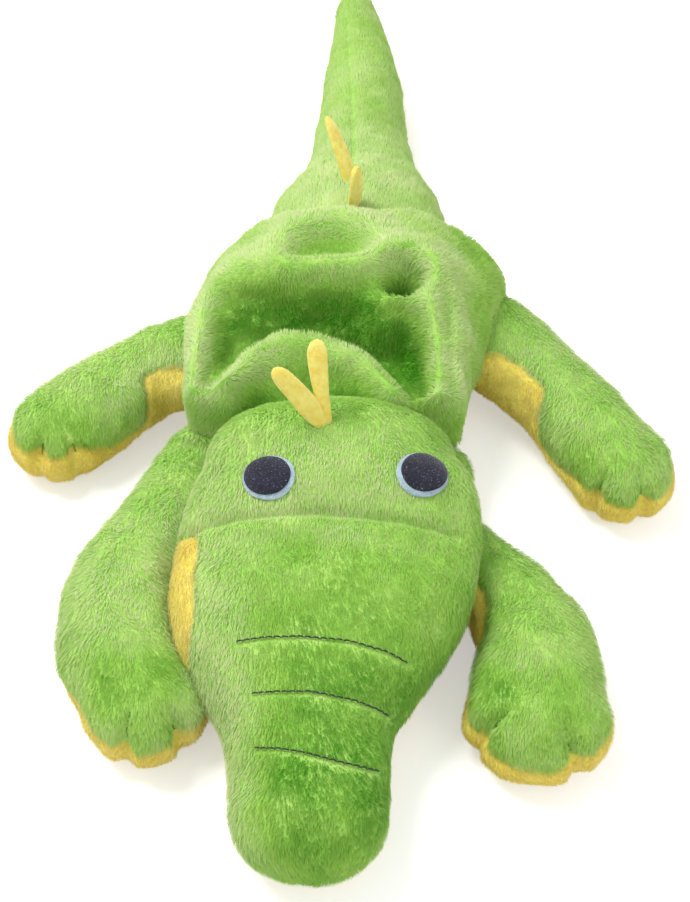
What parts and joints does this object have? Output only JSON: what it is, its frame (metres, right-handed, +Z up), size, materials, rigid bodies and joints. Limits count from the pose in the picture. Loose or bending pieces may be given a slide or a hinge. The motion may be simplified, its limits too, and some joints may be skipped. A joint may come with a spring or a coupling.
{
  "type": "plush crocodile",
  "caption": "Soft plush crocodile lying on its belly, green above and yellow below, with felt eyes, felt back spikes and legs, head and tail that flex.",
  "frame": {"origin": "middle of the flat resting face under the belly, on the surface that the toy lies on", "axes": "+Z up, +Y from head to tail along the body, +X across it; left and right in names are as seen in the picture, so left is -X"},
  "size_m": [0.3125, 0.577, 0.1111],
  "materials": {
    "green_plush": "short brushed pile",
    "yellow_plush": "short brushed pile",
    "fibre": "loose polyester fibre",
    "yellow_felt": "matte felt",
    "black_felt": "matte felt",
    "blue_felt": "matte felt",
    "dark_thread": "sewing thread"
  },
  "bodies": {
    "torso": {"torso_back_panel": "green_plush", "torso_belly_panel": "yellow_plush", "torso_stuffing": "fibre"},
    "head": {"head_forehead_panel": "green_plush", "head_snout_panel": "green_plush", "head_jaw_panel": "yellow_plush", "head_stuffing": "fibre", "left_eye_ring": "blue_felt", "left_eye_disc": "black_felt", "right_eye_ring": "blue_felt", "right_eye_disc": "black_felt", "neck_spike_left": "yellow_felt", "neck_spike_right": "yellow_felt", "snout_stitch_row_1": "dark_thread", "snout_stitch_row_2": "dark_thread", "snout_stitch_row_3": "dark_thread"},
    "tail": {"tail_top_panel": "green_plush", "tail_under_panel": "yellow_plush", "tail_stuffing": "fibre", "tail_spike_front": "yellow_felt", "tail_spike_rear": "yellow_felt"},
    "front_left_leg": {"front_left_leg_top_panel": "green_plush", "front_left_leg_sole_panel": "yellow_plush", "front_left_leg_stuffing": "fibre", "front_left_toe_thread_1": "dark_thread", "front_left_toe_thread_2": "dark_thread"},
    "front_right_leg": {"front_right_leg_top_panel": "green_plush", "front_right_leg_sole_panel": "yellow_plush", "front_right_leg_stuffing": "fibre", "front_right_toe_thread_1": "dark_thread", "front_right_toe_thread_2": "dark_thread"},
    "rear_left_leg": {"rear_left_leg_top_panel": "green_plush", "rear_left_leg_sole_panel": "yellow_plush", "rear_left_leg_stuffing": "fibre", "rear_left_toe_thread_1": "dark_thread", "rear_left_toe_thread_2": "dark_thread"},
    "rear_right_leg": {"rear_right_leg_top_panel": "green_plush", "rear_right_leg_sole_panel": "yellow_plush", "rear_right_leg_stuffing": "fibre", "rear_right_toe_thread_1": "dark_thread", "rear_right_toe_thread_2": "dark_thread"}
  },
  "joints": [
    {"name": "head_nod", "type": "hinge", "parent": "torso", "child": "head", "pos_m": [-0.006, -0.078, 0.043], "axis": [-1, 0, 0], "range_deg": [0, 30]},
    {"name": "tail_swing", "type": "hinge", "parent": "torso", "child": "tail", "pos_m": [0.004, 0.062, 0.039], "axis": [0, 0, 1], "range_deg": [-10, 10]},
    {"name": "front_left_leg_sweep", "type": "hinge", "parent": "torso", "child": "front_left_leg", "pos_m": [-0.064, -0.053, 0.022], "axis": [0, 0, -1], "range_deg": [0, 28]},
    {"name": "front_right_leg_sweep", "type": "hinge", "parent": "torso", "child": "front_right_leg", "pos_m": [0.052, -0.053, 0.022], "axis": [0, 0, 1], "range_deg": [0, 30]},
    {"name": "rear_left_leg_sweep", "type": "hinge", "parent": "torso", "child": "rear_left_leg", "pos_m": [-0.072, 0.007, 0.027], "axis": [0, 0, -1], "range_deg": [-4, 30]},
    {"name": "rear_right_leg_sweep", "type": "hinge", "parent": "torso", "child": "rear_right_leg", "pos_m": [0.0735, 0.0184, 0.027], "axis": [0, 0, 1], "range_deg": [-3, 30]}
  ]
}
